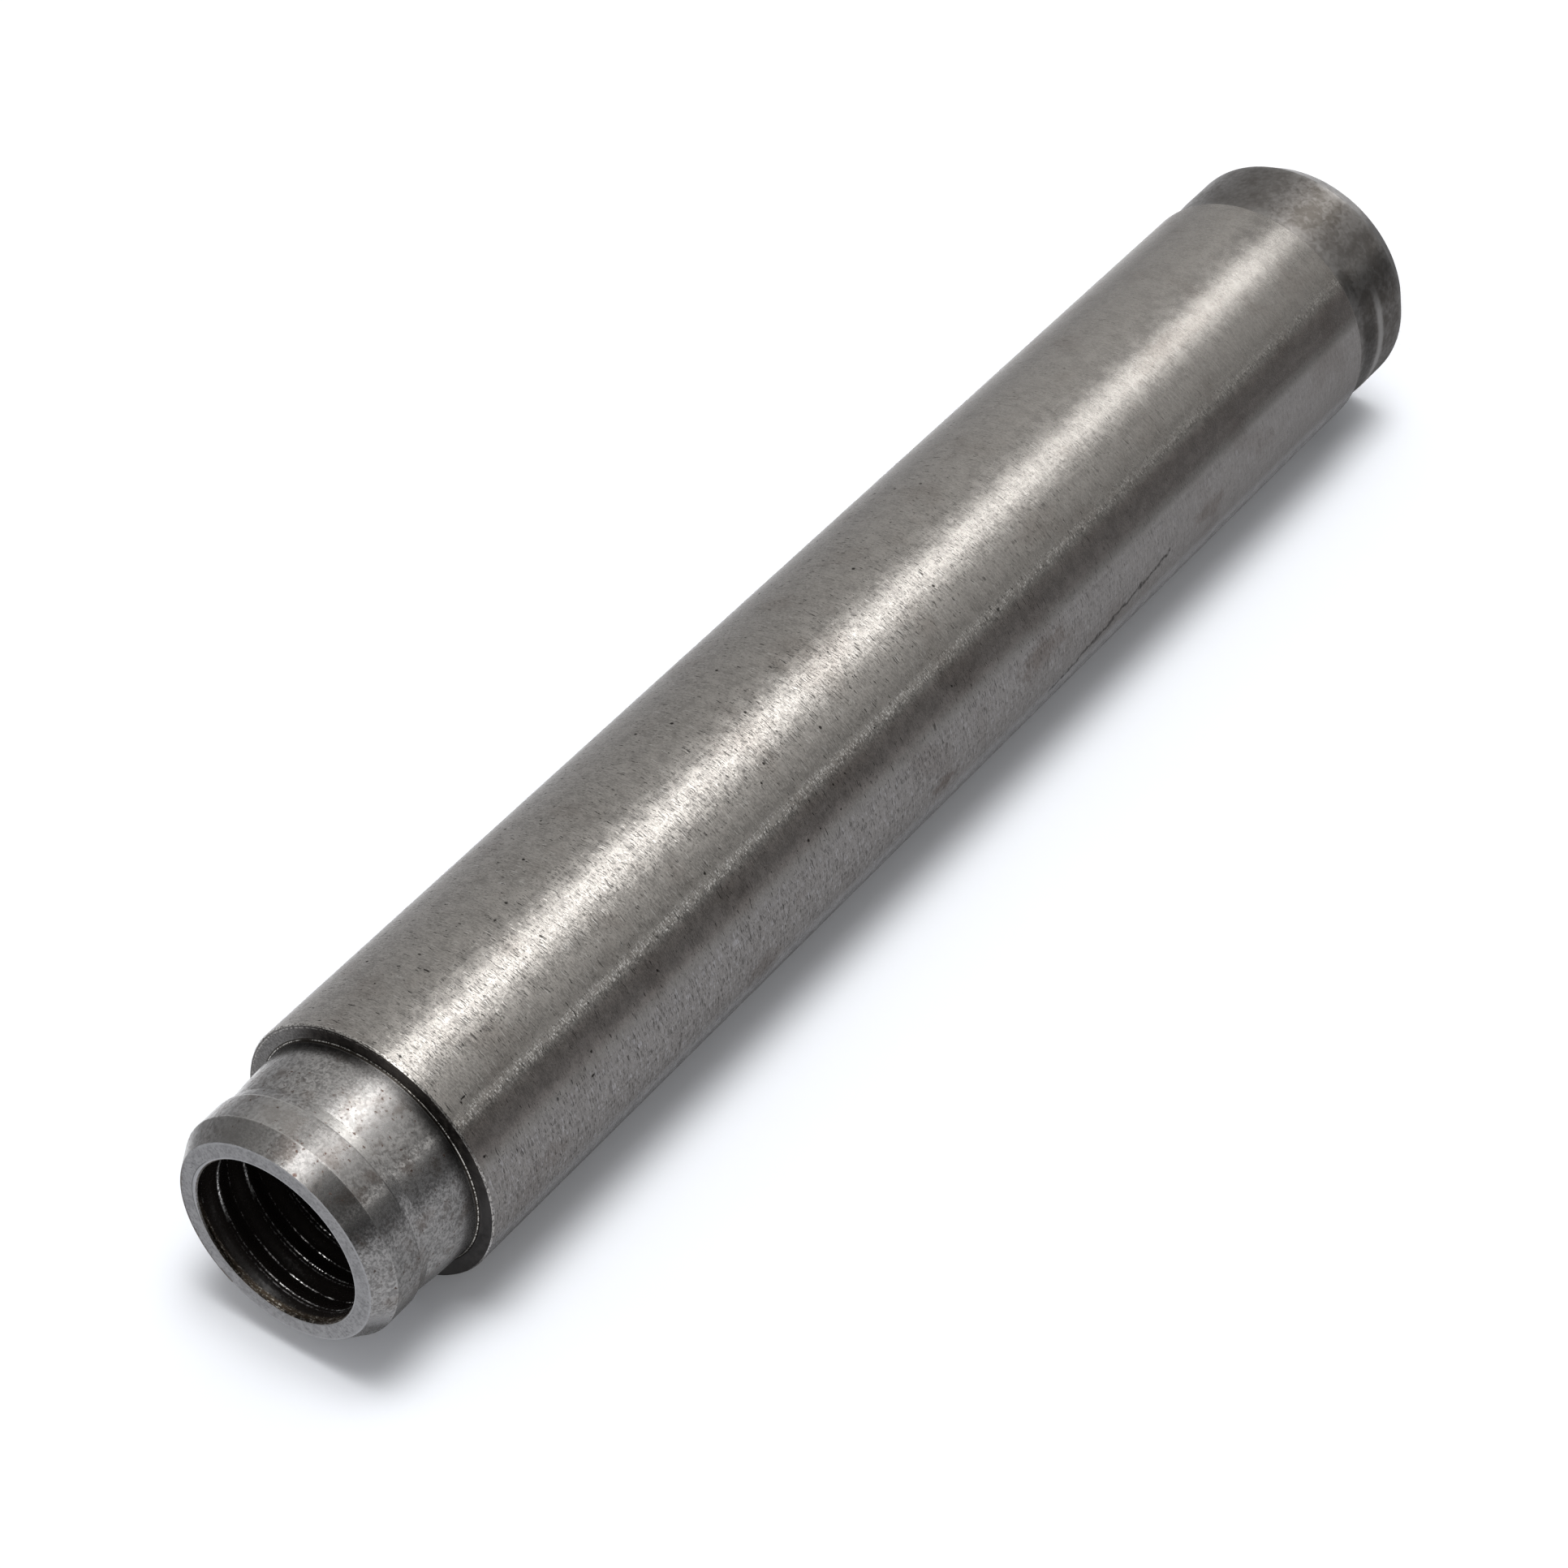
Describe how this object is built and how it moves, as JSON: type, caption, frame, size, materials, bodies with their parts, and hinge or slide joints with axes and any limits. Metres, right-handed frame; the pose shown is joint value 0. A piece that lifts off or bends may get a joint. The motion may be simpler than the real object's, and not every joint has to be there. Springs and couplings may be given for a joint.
{
  "type": "valve guide",
  "caption": "Long turned iron tube that guides a valve stem, with a ground press-fit body, a lipped stem-seal spigot at one end and a chamfered collar at the other.",
  "frame": {"origin": "on the stem axis, in the plane of the port end face that the guide stands on", "axes": "+Z along the stem axis, from the port end to the seal end; the part is round, so X and Y are free"},
  "size_m": [0.0126, 0.0126, 0.0795],
  "materials": {
    "ground_iron": "ground on the body, fine turned at the ends, oiled spiral-grooved bore"
  },
  "bodies": {
    "root": {"valve_guide": "ground_iron"}
  },
  "joints": []
}
